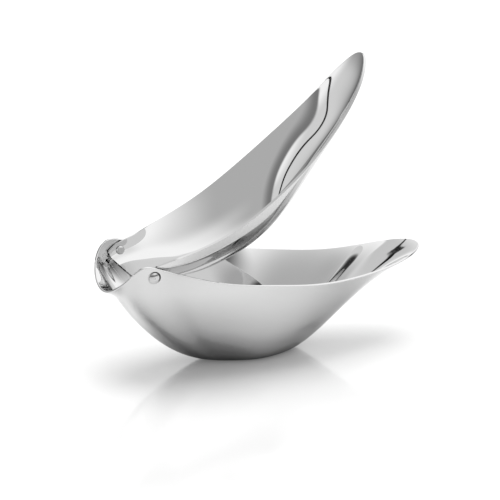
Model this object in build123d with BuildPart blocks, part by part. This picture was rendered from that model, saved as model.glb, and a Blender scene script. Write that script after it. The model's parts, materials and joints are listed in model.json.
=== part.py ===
"""Hinged lemon squeezer: two nested leaf-shaped shells of polished steel on two hinge pins.

The lower shell is a bowl with a flat foot, a flared pouring lip and a long leaf-tip handle. The upper shell
is the press lever. It hangs between the bowl's ears and is modelled open, as it stands over a lemon wedge.

Millimetres, +Z up, +X towards the handle tip, -Y the left side. The origin is the middle of the flat foot.
"""

from build123d import *
from math import atan2, cos, pi, radians, sin, tan
import os

import numpy as np

# ---------------------------------------------------------------- sheet, hinge and pins
SHELL_WALL = 1.0  # sheet thickness of both shells
HINGE_X = -50.0  # pin axis, measured from the middle of the foot
HINGE_HEIGHT = 46.0  # pin axis above the foot
OPEN_ANGLE = 39.4  # how far the press lever stands open at rest
PIN_DIAMETER = 3.0
PIN_HEAD_DIAMETER = 4.8
PIN_HEAD_HEIGHT = 0.9
PIN_HEAD_EDGE = 0.3  # straight rim under the head's dome
PIN_TAIL_DIAMETER = 3.8  # the tail, peened over inside the press lever
PIN_TAIL_HEIGHT = 0.6
PIN_RUNNING_CLEARANCE = 0.08  # radial, between a pin and the press lever's ear
TAIL_CLEARANCE = 0.25  # between the peened tail and the press lever's ear
WASHER_DIAMETER = 5.6
WASHER_CLEARANCE = 0.12  # between a washer and the press lever's ear
EAR_GAP = 0.5  # between the bowl's ears and the press lever's, taken up by the washers
EAR_FLAT_DEPTH = 0.15  # depth of the flat pressed round the pin into each face of an ear
EAR_FLAT_REACH = 1.5  # how far out a flat is cleared
HEAD_RECESS_GAP = 0.2  # gap round the pin's head in its recess

# ---------------------------------------------------------------- lower shell
FOOT_LENGTH = 31.0
FOOT_WIDTH = 15.0
HANDLE_END = 76.0  # handle tip, measured from the middle of the foot
HANDLE_HEIGHT = 36.5  # handle tip above the foot
HANDLE_HALF_WIDTH = 19.0  # where the handle meets the bowl
BOWL_HALF_WIDTH = 25.2  # at the middle of the foot
EAR_HALF_WIDTH = 19.3
# Rim from the handle tip round to the middle of the pouring lip: distance along from the middle of the foot,
# half width there, and height above the foot. The ears are the high points beside the pin axis.
BOWL_RIM = [
    (HANDLE_END, 0.0, HANDLE_HEIGHT),
    (HANDLE_END - 1.0, 3.9, HANDLE_HEIGHT - 0.2),
    (HANDLE_END - 6.0, 9.2, HANDLE_HEIGHT - 1.1),
    (HANDLE_END - 18.0, 14.5, HANDLE_HEIGHT - 2.8),
    (40.0, HANDLE_HALF_WIDTH, 32.7),
    (20.0, BOWL_HALF_WIDTH - 1.3, 34.2),
    (0.0, BOWL_HALF_WIDTH, 37.2),
    (-20.0, BOWL_HALF_WIDTH - 1.3, 40.5),
    (HINGE_X + 12.0, EAR_HALF_WIDTH + 2.4, HINGE_HEIGHT - 0.1),
    (HINGE_X + 4.0, EAR_HALF_WIDTH + 0.7, HINGE_HEIGHT + 2.7),
    (HINGE_X - 4.4, EAR_HALF_WIDTH, HINGE_HEIGHT + 4.7),
    (HINGE_X - 9.9, EAR_HALF_WIDTH - 1.6, HINGE_HEIGHT + 0.4),
    (HINGE_X - 13.0, EAR_HALF_WIDTH - 6.4, HINGE_HEIGHT - 4.7),
    (HINGE_X - 14.6, EAR_HALF_WIDTH - 12.3, HINGE_HEIGHT - 8.3),
    (HINGE_X - 15.1, 0.0, HINGE_HEIGHT - 9.7),
]
# The wall's profile at five turns round the foot, in degrees from the handle to the lip: how far it runs on
# level from the foot, the height from which it keeps its rim slope, and that slope.
BOWL_PROFILES = [
    (0.0, 13.0, 30.9, 10.5),
    (45.0, 12.5, 23.2, 31.0),
    (90.0, 10.0, 22.2, 75.0),
    (135.0, 10.0, 30.0, 90.0),
    (180.0, 20.0, 24.0, 66.0),
]
FAN_TURN = 45.0  # up to here the wall rises along the fan of lines out of the foot
SQUARE_TURN = 115.0  # and from here square to the rim
LIP_CURL = 4.8  # how far the lip is turned out
LIP_START_TURN = 134.0  # the curl starts here, beside the ears
LIP_FULL_TURN = 172.0
LIP_CURL_START = 0.86  # share of the wall's rise at which the curl begins
LIP_CURL_POWER = 2.5

# ---------------------------------------------------------------- upper shell, measured closed from the pins
# Sections from the hinge end to the tip: distance along, half width, rim height, keel height, slope of the
# side at the rim in degrees, and how far out the floor stays level as a share of the half width.
# The ears' half widths are counted from their half width at the pins, which follows the bowl's ears.
LEVER_EAR_RADIUS = 5.0  # the hinge end reaches this far beyond the pins, and its ears are rounded about them
LEVER_END_TRIM = 0.6  # sheet cut off beyond that
LEVER_EAR_SECTIONS = [
    (-LEVER_EAR_RADIUS - LEVER_END_TRIM, -0.6, 3.3, -3.9, 90.0, 0.92),
    (0.0, 0.0, 3.1, -7.2, 90.0, 0.94),
    (6.0, 0.4, 0.9, -11.6, 89.0, 0.87),
]
LEVER_SECTIONS = [
    (16.0, 20.4, -3.1, -18.9, 76.0, 0.74),
    (35.0, 22.4, -9.2, -26.2, 66.0, 0.69),
    (54.0, 22.4, -12.0, -27.4, 62.0, 0.66),
    (72.0, 21.4, -12.85, -23.2, 58.0, 0.56),
    (87.5, 19.1, -12.4, -18.6, 54.0, 0.51),
    (101.0, 16.2, -11.0, -15.0, 54.0, 0.50),
    (111.5, 13.2, -9.0, -11.4, 46.0, 0.50),
    (119.2, 9.2, -7.1, -8.4, 38.0, 0.50),
    (124.0, 4.7, -5.6, -6.0, 30.0, 0.50),
    (125.6, 0.0, -5.1, -5.1, 24.0, 0.50),
]
LEVER_SIDE_EASE = 0.6  # share of a section's depth over which its side takes the rim slope
LEVER_TIP_TRIM = 0.012  # the tip's last sliver is cut straight across

# ---------------------------------------------------------------- how finely the sheets are laid out
BOWL_STEPS = 60
RISE_STEPS = 30
LEVER_STEPS = 60
ACROSS_STEPS = 40
SHEET_TOLERANCE = 0.02
SKIN_DEGREE = 3
NORMAL_STEP = 1e-4  # share of a face over which its slope is taken
ON_MIDDLE = 1e-9  # nearer than this to a middle plane counts as on it


def smooth_through(places, values, level_start=False, level_end=False):
    """A cubic spline with continuous curvature through values; each end is level, or else straight."""
    places, values = np.array(places, float), np.array(values, float)
    gaps, count = np.diff(places), len(places)
    slopes = np.diff(values) / gaps
    rows, sides = np.zeros((count, count)), np.zeros(count)
    for i in range(1, count - 1):
        rows[i, i - 1 : i + 2] = gaps[i - 1], 2 * (gaps[i - 1] + gaps[i]), gaps[i]
        sides[i] = 6 * (slopes[i] - slopes[i - 1])
    rows[0, 0] = rows[-1, -1] = 1.0
    if level_start:
        rows[0, :2] = 2 * gaps[0], gaps[0]
        sides[0] = 6 * slopes[0]
    if level_end:
        rows[-1, -2:] = gaps[-1], 2 * gaps[-1]
        sides[-1] = -6 * slopes[-1]
    bends = np.linalg.solve(rows, sides)

    def value(place):
        i = int(np.clip(np.searchsorted(places, place) - 1, 0, count - 2))
        before, after, gap = place - places[i], places[i + 1] - place, gaps[i]
        return float(
            (bends[i] * after**3 + bends[i + 1] * before**3) / (6 * gap)
            + (values[i] / gap - bends[i] * gap / 6) * after
            + (values[i + 1] / gap - bends[i + 1] * gap / 6) * before
        )

    return value


def spread(points):
    """Places for a spline's points from 0 to 1, spaced by the root of the distance between them."""
    steps = np.sqrt((np.diff(np.array(points), axis=0) ** 2).sum(axis=1))
    along = np.concatenate([[0.0], np.cumsum(np.sqrt(steps))])
    return along / along[-1]


def columns(places, rows, first, level_start, level_end):
    """One spline for each column of rows after the first ones."""
    return [smooth_through(places, column, level_start, level_end) for column in list(zip(*rows))[first:]]


def ease(place, start, end):
    """Rises from 0 to 1 between two places, with continuous curvature."""
    share = min(max((place - start) / (end - start), 0.0), 1.0)
    return share**3 * (10 - 15 * share + 6 * share**2)


def level_unit(vector):
    """A vector laid level and brought to length 1."""
    level = np.array([vector[0], vector[1], 0.0])
    return level / np.linalg.norm(level)


# ---------------------------------------------------------------- lower shell's outer face
rim_places = spread(BOWL_RIM)
rim_x, rim_z = (smooth_through(rim_places, [point[k] for point in BOWL_RIM], True, True) for k in (0, 2))
rim_y = smooth_through(rim_places, [point[1] for point in BOWL_RIM])
profile_turns = [row[0] for row in BOWL_PROFILES]
foot_run, rim_start, rim_slope = columns(profile_turns, BOWL_PROFILES, 1, True, True)
BOWL_MIDDLE = (BOWL_RIM[0][0] + BOWL_RIM[-1][0]) / 2
BOWL_HALF_LENGTH = (BOWL_RIM[0][0] - BOWL_RIM[-1][0]) / 2


def outward_from(along, turn, fan):
    """The level way out of the bowl at the rim: the fan's line by the handle, square to the rim by the ears."""
    if min(along, 1 - along) < NORMAL_STEP:
        return fan
    ahead, behind = along + NORMAL_STEP, along - NORMAL_STEP
    square = level_unit([rim_y(ahead) - rim_y(behind), rim_x(behind) - rim_x(ahead)])
    squareness = ease(turn, FAN_TURN, SQUARE_TURN)
    return level_unit(fan * (1 - squareness) + square * squareness)


def bowl_outside(along, rise):
    """Outer face of the lower shell's right half: along from tip to lip, rise from the foot to the rim."""
    rim = np.array([rim_x(along), rim_y(along), rim_z(along)])
    turn = atan2(max(rim[1], 0.0) / BOWL_HALF_WIDTH, (rim[0] - BOWL_MIDDLE) / BOWL_HALF_LENGTH)
    foot = np.array([FOOT_LENGTH / 2 * cos(turn), FOOT_WIDTH / 2 * sin(turn), 0.0])
    degrees_round = turn * 180 / pi
    fan = level_unit(rim - foot)
    outward = outward_from(along, degrees_round, fan)
    curl = LIP_CURL * ease(degrees_round, LIP_START_TURN, LIP_FULL_TURN) * outward
    drop = rim[2] - rim_start(degrees_round)
    top = rim - curl
    low = foot + foot_run(degrees_round) * fan
    high = top - drop * (outward / tan(radians(rim_slope(degrees_round))) + np.array([0.0, 0.0, 1.0]))
    rest = 1 - rise
    point = rest**3 * foot + 3 * rest**2 * rise * low + 3 * rest * rise**2 * high + rise**3 * top
    curled = max(rise - LIP_CURL_START, 0.0) / (1 - LIP_CURL_START)
    return point + curled**LIP_CURL_POWER * curl


# ---------------------------------------------------------------- sheets of even thickness
def sheet_grids(outside, alongs, acrosses, inside_sign):
    """Points of the outer face, and of the inner one that lies one wall inside it."""
    outer, inner = [], []
    for along in alongs:
        outer.append([])
        inner.append([])
        for across in acrosses:
            here = outside(along, across)
            ahead, behind = min(along + NORMAL_STEP, alongs[-1]), max(along - NORMAL_STEP, alongs[0])
            above, below = min(across + NORMAL_STEP, acrosses[-1]), max(across - NORMAL_STEP, acrosses[0])
            lengthwise = outside(ahead, across) - outside(behind, across)
            crosswise = outside(along, above) - outside(along, below)
            normal = np.cross(lengthwise, crosswise) * inside_sign
            if abs(here[1]) < ON_MIDDLE:
                normal[1] = 0.0
            if abs(here[2]) < ON_MIDDLE:
                normal[:2] = 0.0
            outer[-1].append(here)
            inner[-1].append(here + SHELL_WALL * normal / np.linalg.norm(normal))
    return outer, inner


def skin(grid):
    """A smooth face through a grid of points."""
    points = [[Vector(*point) for point in row] for row in grid]
    return Face.make_surface_from_array_of_points(
        points, tol=SHEET_TOLERANCE, min_deg=SKIN_DEGREE, max_deg=SKIN_DEGREE
    )


def edge_at(face, point):
    return face.edges().sort_by_distance(Vector(*point))[0]


def strip(outer, inner, outer_point, inner_point):
    """The sheet's cut edge, between matching edges of its two faces."""
    return Face.make_surface_from_curves(edge_at(outer, outer_point), edge_at(inner, inner_point))


def bowl_sheet():
    alongs = [i / BOWL_STEPS for i in range(BOWL_STEPS + 1)]
    rises = [i / RISE_STEPS for i in range(RISE_STEPS + 1)]
    outer_grid, inner_grid = sheet_grids(bowl_outside, alongs, rises, -1)
    outer, inner = skin(outer_grid), skin(inner_grid)
    middle = BOWL_STEPS // 2
    right = [outer, inner, strip(outer, inner, outer_grid[middle][-1], inner_grid[middle][-1])]
    left = [face.mirror(Plane.XZ) for face in right]
    soles = []
    for face, grid in ((outer, outer_grid), (inner, inner_grid)):
        edge = edge_at(face, grid[middle][0])
        soles.append(Face(Wire([edge, edge.mirror(Plane.XZ)])))
    return Solid(Shell(right + left + soles))


def wall_at_hinge(sheet):
    """Outer and inner face of a sheet's right ear where the pin axis crosses it, measured along +Y."""
    axis = Axis((HINGE_X, 0, HINGE_HEIGHT), (0, 1, 0))
    crossings = sorted(point.Y for point, _ in sheet.find_intersection_points(axis))
    return crossings[-1], crossings[-2]


lower_sheet = bowl_sheet()
lower_ear_outside, lower_ear_inside = wall_at_hinge(lower_sheet)

# ---------------------------------------------------------------- upper shell's outer face
lever_ear_half = lower_ear_inside - EAR_GAP
ear_sections = [(place, lever_ear_half + out, *rest) for place, out, *rest in LEVER_EAR_SECTIONS]
lever_sections = ear_sections + LEVER_SECTIONS
lever_places = spread([section[:3] for section in lever_sections])
lever_columns = columns(lever_places, lever_sections, 0, False, True)
lever_x, _, lever_rim, lever_keel, lever_slope, lever_floor = lever_columns
lever_half = smooth_through(lever_places, [section[1] for section in lever_sections])
LEVER_PLANE = Plane(
    origin=(HINGE_X, 0, HINGE_HEIGHT),
    x_dir=(cos(radians(OPEN_ANGLE)), 0, sin(radians(OPEN_ANGLE))),
    z_dir=(0, -1, 0),
)


def lever_outside(along, across):
    """Outer face of the upper shell, standing open: along from hinge to tip, across from -1, left, to 1."""
    half, rim, keel = lever_half(along), lever_rim(along), lever_keel(along)
    slope = radians(lever_slope(along))
    run = LEVER_SIDE_EASE * max(rim - keel, 0.0)
    side, rest = abs(across), 1 - abs(across)
    low_y, high_y = lever_floor(along) * half, half - run * cos(slope)
    y = 3 * rest**2 * side * low_y + 3 * rest * side**2 * high_y + side**3 * half
    low = rest**3 + 3 * rest**2 * side
    z = low * keel + 3 * rest * side**2 * (rim - run * sin(slope)) + side**3 * rim
    placed = LEVER_PLANE.from_local_coords((lever_x(along), z, 0))
    return np.array([placed.X, y if across > 0 else -y, placed.Z])


def lever_sheet():
    last = 1 - LEVER_TIP_TRIM
    alongs = [last * i / LEVER_STEPS for i in range(LEVER_STEPS + 1)]
    acrosses = [2 * i / ACROSS_STEPS - 1 for i in range(ACROSS_STEPS + 1)]
    outer_grid, inner_grid = sheet_grids(lever_outside, alongs, acrosses, 1)
    outer, inner = skin(outer_grid), skin(inner_grid)
    places = ((0, ACROSS_STEPS // 2), (-1, ACROSS_STEPS // 2), (LEVER_STEPS // 2, 0), (LEVER_STEPS // 2, -1))
    strips = [strip(outer, inner, outer_grid[i][j], inner_grid[i][j]) for i, j in places]
    return Solid(Shell([outer, inner] + strips))


upper_sheet = lever_sheet()
upper_ear_outside, upper_ear_inside = wall_at_hinge(upper_sheet)

# Flats pressed into the ears, square to the pin axis: each lies EAR_FLAT_DEPTH into its face.
head_seat = lower_ear_outside - EAR_FLAT_DEPTH
washer_seat = lower_ear_inside + EAR_FLAT_DEPTH
lever_face = upper_ear_outside - EAR_FLAT_DEPTH
tail_face = upper_ear_inside + EAR_FLAT_DEPTH
tail_seat = tail_face - TAIL_CLEARANCE
washer_face = lever_face + WASHER_CLEARANCE
washer_thickness = washer_seat - washer_face
HINGE_PLANE = Plane(origin=(HINGE_X, 0, HINGE_HEIGHT), x_dir=(1, 0, 0), z_dir=(0, -1, 0))
SIDES = {"left": -1, "right": 1}
BEYOND_EARS = 2 * BOWL_HALF_WIDTH


def across_hinge(side, start, plane=HINGE_PLANE):
    """The hinge's side-view plane, moved out to one side."""
    return plane.offset(-side * start)


# ---------------------------------------------------------------- lower shell
with BuildPart() as lower_shell:
    add(lower_sheet)
    with BuildSketch(HINGE_PLANE):
        Circle(PIN_DIAMETER / 2)
    extrude(amount=BEYOND_EARS, both=True, mode=Mode.SUBTRACT)
    for side in SIDES.values():
        with BuildSketch(across_hinge(side, head_seat)):
            Circle(PIN_HEAD_DIAMETER / 2 + HEAD_RECESS_GAP)
        extrude(amount=-side * EAR_FLAT_REACH, mode=Mode.SUBTRACT)
        with BuildSketch(across_hinge(side, washer_seat)):
            Circle(WASHER_DIAMETER / 2)
        extrude(amount=side * EAR_FLAT_REACH, mode=Mode.SUBTRACT)
lower_shell.part.label = "lower_shell"

# ---------------------------------------------------------------- upper shell
with BuildPart() as upper_shell:
    add(upper_sheet)
    with BuildSketch(LEVER_PLANE):
        Rectangle(LEVER_EAR_RADIUS * 2, LEVER_EAR_RADIUS * 4, align=(Align.MAX, Align.CENTER))
        Circle(LEVER_EAR_RADIUS, mode=Mode.SUBTRACT)
        Rectangle(LEVER_EAR_RADIUS, LEVER_EAR_RADIUS * 2, align=(Align.MAX, Align.MAX), mode=Mode.SUBTRACT)
    extrude(amount=BEYOND_EARS, both=True, mode=Mode.SUBTRACT)
    with BuildSketch(HINGE_PLANE):
        Circle(PIN_DIAMETER / 2 + PIN_RUNNING_CLEARANCE)
    extrude(amount=BEYOND_EARS, both=True, mode=Mode.SUBTRACT)
    for side in SIDES.values():
        with BuildSketch(across_hinge(side, lever_face)):
            Circle(WASHER_DIAMETER / 2 + WASHER_CLEARANCE)
        extrude(amount=-side * EAR_FLAT_REACH, mode=Mode.SUBTRACT)
        with BuildSketch(across_hinge(side, tail_face)):
            Circle(PIN_TAIL_DIAMETER / 2 + TAIL_CLEARANCE)
        extrude(amount=side * EAR_FLAT_REACH, mode=Mode.SUBTRACT)
upper_shell.part.label = "upper_shell"


# ---------------------------------------------------------------- pins and washers, one of each a side
def pin_solid(side):
    """A headed pin: domed head outside the bowl's ear, tail peened over inside the press lever's ear."""
    grip = head_seat - tail_seat
    dome_rise = PIN_HEAD_HEIGHT - PIN_HEAD_EDGE
    dome_radius = ((PIN_HEAD_DIAMETER / 2) ** 2 + dome_rise**2) / (2 * dome_rise)
    seat = Plane(origin=(HINGE_X, side * head_seat, HINGE_HEIGHT), x_dir=(0, side, 0), z_dir=(1, 0, 0))
    with BuildPart() as pin:
        with BuildSketch(seat):
            with BuildLine():
                Polyline(
                    (PIN_HEAD_HEIGHT, 0),
                    (-grip - PIN_TAIL_HEIGHT, 0),
                    (-grip - PIN_TAIL_HEIGHT, PIN_DIAMETER / 2),
                    (-grip, PIN_TAIL_DIAMETER / 2),
                    (-grip, PIN_DIAMETER / 2),
                    (0, PIN_DIAMETER / 2),
                    (0, PIN_HEAD_DIAMETER / 2),
                    (PIN_HEAD_EDGE, PIN_HEAD_DIAMETER / 2),
                )
                RadiusArc((PIN_HEAD_EDGE, PIN_HEAD_DIAMETER / 2), (PIN_HEAD_HEIGHT, 0), dome_radius)
            make_face()
        revolve(axis=Axis(seat.origin, seat.x_dir))
    return pin.part


def washer_solid(side):
    with BuildPart() as washer:
        with BuildSketch(across_hinge(side, washer_face)):
            Circle(WASHER_DIAMETER / 2)
            Circle(PIN_DIAMETER / 2, mode=Mode.SUBTRACT)
        extrude(amount=-side * washer_thickness)
    return washer.part


small_parts = []
for name, side in SIDES.items():
    for kind, solid in (("hinge_pin", pin_solid(side)), ("spacer_washer", washer_solid(side))):
        solid.label = f"{name}_{kind}"
        small_parts.append(solid)

os.makedirs("parts", exist_ok=True)
for part in [lower_shell.part, upper_shell.part, *small_parts]:
    export_step(part, f"parts/{part.label}.step")
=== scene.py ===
"""Hinged lemon squeezer in mirror-polished sheet steel, standing open on a glossy white table."""

import json
from math import cos, pi, radians, sin

import bpy
import numpy as np
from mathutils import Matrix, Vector


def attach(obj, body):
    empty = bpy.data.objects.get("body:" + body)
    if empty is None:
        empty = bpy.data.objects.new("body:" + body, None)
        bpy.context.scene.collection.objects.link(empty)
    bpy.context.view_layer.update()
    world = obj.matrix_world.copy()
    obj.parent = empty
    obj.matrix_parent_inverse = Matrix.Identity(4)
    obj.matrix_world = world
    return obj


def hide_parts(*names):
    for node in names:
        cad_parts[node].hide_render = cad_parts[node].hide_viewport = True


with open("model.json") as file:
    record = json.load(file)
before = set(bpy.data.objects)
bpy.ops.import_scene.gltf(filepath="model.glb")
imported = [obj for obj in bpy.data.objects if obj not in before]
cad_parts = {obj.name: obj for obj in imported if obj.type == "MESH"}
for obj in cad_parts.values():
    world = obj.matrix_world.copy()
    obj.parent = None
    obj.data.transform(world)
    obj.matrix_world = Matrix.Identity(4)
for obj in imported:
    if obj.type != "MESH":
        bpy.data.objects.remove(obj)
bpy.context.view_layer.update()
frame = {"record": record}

MM = 0.001

# ---- sheet and hinge, in millimetres
SHELL_WALL = 1.0
RIM_ROUND = 0.32  # radius that polishing leaves on a cut edge
OPEN_ANGLE = 39.4  # how far the press lever stands open at rest
HEAD_SEAT = 19.257  # from the middle plane to the flat under a pin's head
WASHER_SEAT = 18.555  # to the flat outside a washer
LEVER_FACE = 17.556  # to the flat outside the lever's ear
TAIL_SEAT = 16.596  # to the inside of that ear, under the pin's tail
HEAD_RECESS_RADIUS = 2.6
RECESS_SHADE = 0.25  # share of painted shade, with more roughness, in the recess under a head, at least
RECESS_DARKEST = np.array([0.70, 0.71])  # forward and up from the pin, where the painted shade is darkest
LEVER_SEAT_RADIUS = 2.4
PIN_RADIUS = 1.5
PIN_CLEARANCE = 0.08
PIN_EDGE = 0.12  # radius left on a pin's corners
HEAD_RADIUS = 2.15
HEAD_EDGE = 0.3  # straight rim under the head's dome
HEAD_HEIGHT = 0.75
DIMPLE_RADIUS = 0.5  # dimple left in the head by the riveting tool
DIMPLE_FLOOR_RADIUS = 0.3
DIMPLE_LIP = 0.03
DIMPLE_DEPTH = 0.16
TAIL_RADIUS = 1.9
TAIL_HEIGHT = 0.6
WASHER_RADIUS = 2.8
WASHER_THICKNESS = 0.879
WASHER_EDGE = 0.14
hinge = frame["record"]["behaviour"]["joints"][0]
HINGE_X, _, HINGE_HEIGHT = (value / MM for value in hinge["pos_m"])

# ---- bowl, in millimetres
FOOT_LENGTH = 31.0
FOOT_WIDTH = 15.0
HANDLE_END = 76.0
HANDLE_HEIGHT = 36.5
HANDLE_HALF_WIDTH = 19.0
BOWL_HALF_WIDTH = 25.2
EAR_HALF_WIDTH = 19.3
# Rim from the handle tip to the middle of the lip: along from the middle of the foot, half width, height.
BOWL_RIM = [
    (HANDLE_END, 0.0, HANDLE_HEIGHT),
    (HANDLE_END - 1.0, 3.9, HANDLE_HEIGHT - 0.2),
    (HANDLE_END - 6.0, 9.2, HANDLE_HEIGHT - 1.1),
    (HANDLE_END - 18.0, 14.5, HANDLE_HEIGHT - 2.8),
    (40.0, HANDLE_HALF_WIDTH, 32.7),
    (20.0, BOWL_HALF_WIDTH - 1.3, 34.2),
    (0.0, BOWL_HALF_WIDTH, 37.2),
    (-20.0, BOWL_HALF_WIDTH - 1.3, 40.5),
    (HINGE_X + 12.0, EAR_HALF_WIDTH + 2.4, HINGE_HEIGHT - 0.1),
    (HINGE_X + 4.0, EAR_HALF_WIDTH + 0.7, HINGE_HEIGHT + 2.7),
    (HINGE_X - 4.4, EAR_HALF_WIDTH, HINGE_HEIGHT + 4.7),
    (HINGE_X - 9.9, EAR_HALF_WIDTH - 1.6, HINGE_HEIGHT + 0.4),
    (HINGE_X - 13.0, EAR_HALF_WIDTH - 6.4, HINGE_HEIGHT - 4.7),
    (HINGE_X - 14.6, EAR_HALF_WIDTH - 12.3, HINGE_HEIGHT - 8.3),
    (HINGE_X - 15.1, 0.0, HINGE_HEIGHT - 9.7),
]
# The wall's profile at five turns round the foot, in degrees from the handle: level run from the foot, the
# height from which it keeps its rim slope, and that slope.
BOWL_PROFILES = [
    (0.0, 13.0, 30.9, 10.5),
    (45.0, 12.5, 23.2, 31.0),
    (90.0, 10.0, 22.2, 75.0),
    (135.0, 10.0, 30.0, 90.0),
    (180.0, 20.0, 24.0, 66.0),
]
FAN_TURN = 45.0  # up to here the wall rises along the fan of lines out of the foot
SQUARE_TURN = 115.0  # and from here square to the rim
LIP_CURL = 4.8  # how far the lip is turned out
LIP_START_TURN = 134.0
LIP_FULL_TURN = 172.0
LIP_CURL_START = 0.86  # share of the way up the wall where the turn begins
LIP_CURL_POWER = 2.5  # how sharply it grows from there to the rim

# ---- press lever, measured shut from the pins
LEVER_EAR_RADIUS = 5.0  # the hinge end reaches this far beyond the pins, rounded about them
LEVER_END_TRIM = 0.6  # the blank runs this much longer, and is cut back
LEVER_EAR_HALF = 17.905  # half width over the ears at the pins
# Sections: along, half width, rim height, keel height, slope of the side at the rim, share of level floor.
LEVER_SECTIONS = [
    (-LEVER_EAR_RADIUS - LEVER_END_TRIM, LEVER_EAR_HALF - 0.8, 3.3, -3.9, 90.0, 0.92),
    (0.0, LEVER_EAR_HALF, 3.1, -7.2, 90.0, 0.94),
    (6.0, LEVER_EAR_HALF + 0.4, 0.9, -11.6, 89.0, 0.87),
    (16.0, 20.4, -3.1, -18.9, 76.0, 0.74),
    (35.0, 22.4, -9.2, -26.2, 66.0, 0.69),
    (54.0, 22.4, -12.0, -27.4, 62.0, 0.66),
    (72.0, 21.4, -12.85, -23.2, 58.0, 0.56),
    (87.5, 19.1, -12.4, -18.6, 54.0, 0.51),
    (101.0, 16.2, -11.0, -15.0, 54.0, 0.50),
    (111.5, 13.2, -9.0, -11.4, 46.0, 0.50),
    (119.2, 9.2, -7.1, -8.4, 38.0, 0.50),
    (124.0, 4.7, -5.6, -6.0, 30.0, 0.50),
    (125.6, 0.0, -5.1, -5.1, 24.0, 0.50),
]
LEVER_SIDE_EASE = 0.6  # how far a side keeps its slope down from the rim, as a share of its height
LEVER_TIP_TRIM = 0.012  # share of the length left off at the very tip, where the sections shrink to nothing

# ---- how finely the blanks are laid out
RAIL_POINTS = 1601
BOWL_CELLS = (150, 64)  # along the rim, and from the foot's edge up to the rim
SOLE_CELLS = 6  # across the foot
LEVER_CELLS = (150, 56)  # along the lever, and from its keel up to the rim
BOWL_PIN_SPOT = (0.8, 0.85)  # roughly where a pin's hole lies on the blank, along and across, from 0 to 1
LEVER_PIN_SPOT = (0.05, 0.6)
PATCH_REACH = 1.12  # the grid gives way to rings round the pin out to this share of the seat's radius
PATCH_WINDOW = 0.2  # and no farther than this along the blank, from 0 to 1
FRAME_SHARES = (0.66, 0.33)  # how much of the patch's own outline the first rings still keep
SEAT_EDGE = 0.12  # mm between the two rings that hold the seat's edge crisp
# A place on the blank is searched for in so many turns at most, by so long a step, to so small a miss in mm.
SEARCH_TURNS = 30
SEARCH_STEP = 1e-5
SEARCH_MISS = 1e-7
LEVER_END_TRIES = np.linspace(0, 0.2, 2001)  # places along the blank where its hinge end may be cut
EDGE_SEGMENTS = 3
EDGE_ANGLE = 50.0  # degrees; a sharper fold is a cut edge
TURNED_STEPS = 96
DOME_STEPS = 8
CORNER_STEPS = 4
CORNER_SHARE = 0.45  # a turned part's rounding takes at most this share of the edges beside it
WELD_DISTANCE = 2e-6  # metres


# ==== curves through the sizes
def smooth_through(places, values, level_start=False, level_end=False):
    """A cubic spline with continuous curvature, for whole arrays; each end is level, or else straight."""
    places, values = np.array(places, float), np.array(values, float)
    gaps, count = np.diff(places), len(places)
    slopes = np.diff(values) / gaps
    rows, sides = np.zeros((count, count)), np.zeros(count)
    for i in range(1, count - 1):
        rows[i, i - 1 : i + 2] = gaps[i - 1], 2 * (gaps[i - 1] + gaps[i]), gaps[i]
        sides[i] = 6 * (slopes[i] - slopes[i - 1])
    rows[0, 0] = rows[-1, -1] = 1.0
    if level_start:
        rows[0, :2] = 2 * gaps[0], gaps[0]
        sides[0] = 6 * slopes[0]
    if level_end:
        rows[-1, -2:] = gaps[-1], 2 * gaps[-1]
        sides[-1] = -6 * slopes[-1]
    bends = np.linalg.solve(rows, sides)

    def value(place):
        """The spline's value there."""
        i = np.clip(np.searchsorted(places, place) - 1, 0, count - 2)
        before, after, gap = place - places[i], places[i + 1] - place, gaps[i]
        return (
            (bends[i] * after**3 + bends[i + 1] * before**3) / (6 * gap)
            + (values[i] / gap - bends[i] * gap / 6) * after
            + (values[i + 1] / gap - bends[i + 1] * gap / 6) * before
        )

    return value


def spread(points):
    """Places for a spline's points from 0 to 1, spaced by the root of the distance between them."""
    steps = np.sqrt((np.diff(np.array(points), axis=0) ** 2).sum(axis=1))
    along = np.concatenate([[0.0], np.cumsum(np.sqrt(steps))])
    return along / along[-1]


def stack(x, y, z):
    """Points from their three coordinates, of which some may be the same for all."""
    return np.stack(np.broadcast_arrays(x, y, z), axis=-1).astype(float)


def ease(place, start, end):
    """Rises from 0 to 1 between two places, with continuous curvature."""
    share = np.clip((place - start) / (end - start), 0.0, 1.0)
    return share**3 * (10 - 15 * share + 6 * share**2)


def level_unit(vectors):
    """Vectors laid level and brought to length 1."""
    level = vectors * [1, 1, 0]
    return level / np.linalg.norm(level, axis=1)[:, None]


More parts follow.
